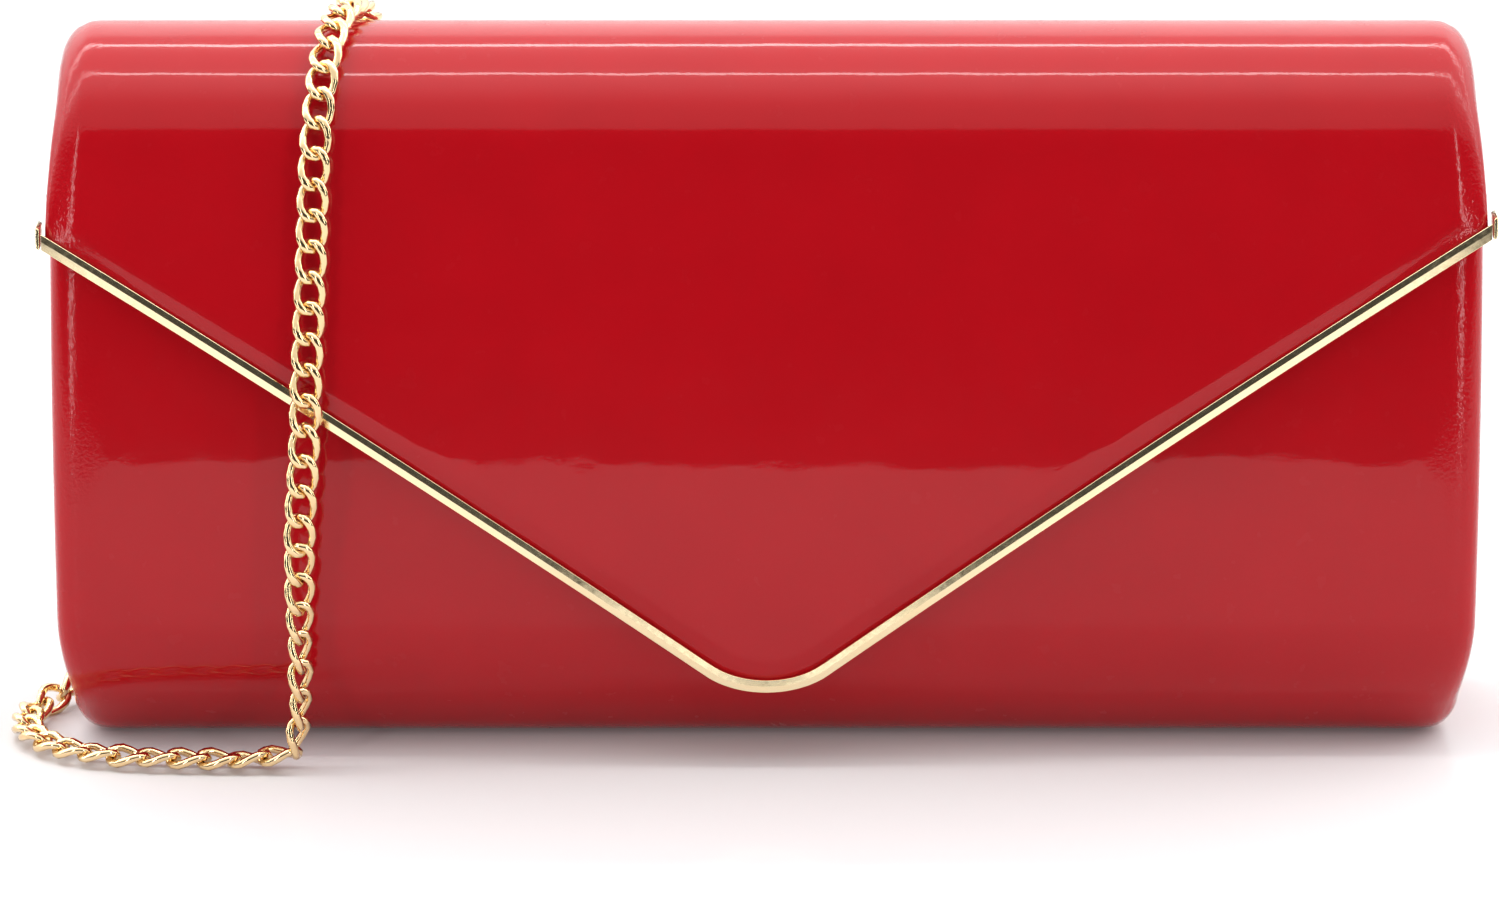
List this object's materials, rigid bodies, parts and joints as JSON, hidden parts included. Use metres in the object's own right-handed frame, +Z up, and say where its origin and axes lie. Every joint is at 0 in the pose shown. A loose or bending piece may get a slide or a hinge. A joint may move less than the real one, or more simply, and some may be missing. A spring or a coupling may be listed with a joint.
{
  "type": "envelope clutch bag",
  "caption": "Glossy patent envelope clutch with a metal-edged V flap that opens on a magnetic snap, and a detachable curb chain strap.",
  "frame": {"origin": "on the surface the bag stands on, under the middle of the bag without its chain strap", "axes": "+Z up, -Y towards the front with the V flap, +X along the bag"},
  "size_m": [0.2758, 0.1048, 0.1375],
  "materials": {
    "patent": "high-gloss patent",
    "gold": "polished light gold",
    "board": "plain",
    "lining": "woven",
    "steel": "stamped",
    "magnet": "sintered",
    "tie": "matte"
  },
  "bodies": {
    "bag": {"body_cover": "patent", "front_board": "board", "base_board": "board", "back_board": "board", "left_gusset": "patent", "right_gusset": "patent", "body_lining": "lining", "slip_pocket": "lining", "fold_strip": "lining", "snap_cup": "gold", "snap_magnet": "magnet", "snap_cup_washer": "steel", "ring_tab_left": "patent", "ring_tab_right": "patent", "tab_rivet_left": "gold", "tab_rivet_right": "gold", "chain_left": "gold", "chain_over": "gold", "chain_right": "gold", "chain_hank": "gold", "hank_tie": "tie"},
    "flap": {"flap_cover": "patent", "flap_board": "board", "flap_lining": "lining", "flap_rim": "gold", "rim_end_left": "gold", "rim_end_right": "gold", "snap_stud": "gold", "snap_stud_washer": "steel"},
    "left_ring": {"d_ring_left": "gold"},
    "left_clasp": {"clasp_left": "gold", "link_ring_left": "gold"},
    "right_ring": {"d_ring_right": "gold"},
    "right_clasp": {"clasp_right": "gold", "link_ring_right": "gold"},
    "left_gate": {"clasp_gate_left": "gold"},
    "right_gate": {"clasp_gate_right": "gold"}
  },
  "joints": [
    {"name": "flap_hinge", "type": "hinge", "parent": "bag", "child": "flap", "pos_m": [0, 0.03025, 0.10385], "axis": [-1, 0, 0], "range_deg": [0, 170], "deforming": ["chain_over"]},
    {"name": "left_ring_swing", "type": "hinge", "parent": "bag", "child": "left_ring", "pos_m": [-0.1256, 0.00825, 0.094], "axis": [0, 1, 0], "range_deg": [0, 90], "deforming": ["chain_left"]},
    {"name": "left_clasp_swing", "type": "hinge", "parent": "left_ring", "child": "left_clasp", "pos_m": [-0.12751, 0.00825, 0.08317], "axis": [0, 1, 0], "range_deg": [0, 50]},
    {"name": "left_gate_press", "type": "hinge", "parent": "left_clasp", "child": "left_gate", "pos_m": [-0.13051, 0.00825, 0.07627], "axis": [0, 1, 0], "range_deg": [0, 25], "stiffness_Nm_per_rad": 0.002, "springref_deg": -5.73},
    {"name": "right_ring_swing", "type": "hinge", "parent": "bag", "child": "right_ring", "pos_m": [0.1256, 0.00825, 0.094], "axis": [0, -1, 0], "range_deg": [0, 90], "deforming": ["chain_right"]},
    {"name": "right_clasp_swing", "type": "hinge", "parent": "right_ring", "child": "right_clasp", "pos_m": [0.12751, 0.00825, 0.08317], "axis": [0, -1, 0], "range_deg": [0, 50]},
    {"name": "right_gate_press", "type": "hinge", "parent": "right_clasp", "child": "right_gate", "pos_m": [0.13051, 0.00825, 0.07627], "axis": [0, -1, 0], "range_deg": [0, 25], "stiffness_Nm_per_rad": 0.002, "springref_deg": -5.73}
  ]
}
